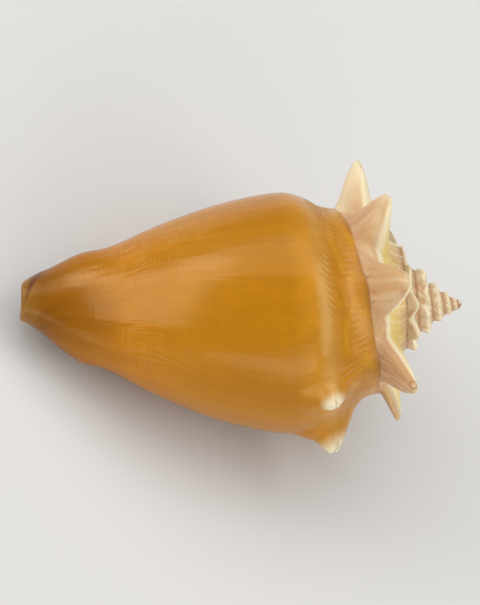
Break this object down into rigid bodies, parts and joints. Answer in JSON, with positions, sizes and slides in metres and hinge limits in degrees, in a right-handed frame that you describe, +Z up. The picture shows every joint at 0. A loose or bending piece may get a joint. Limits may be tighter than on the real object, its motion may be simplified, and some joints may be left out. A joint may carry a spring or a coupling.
{
  "type": "fighting conch shell",
  "caption": "Spiral sea shell with a spined shoulder, a pointed spire, a flared outer lip and an open, glossy aperture.",
  "frame": {"origin": "middle of the shell's bounding box, at the height of the surface it lies on", "axes": "+Z up, +X along the level towards the spire's apex, +Y to the right-handed side; the shell lies at rest on its lip, its last whorl and one spine"},
  "size_m": [0.0858, 0.056, 0.0529],
  "materials": {
    "shell": "glossy ochre-orange shell, pale cream and tan on the spire and spines"
  },
  "bodies": {
    "root": {"shell": "shell"}
  },
  "joints": []
}
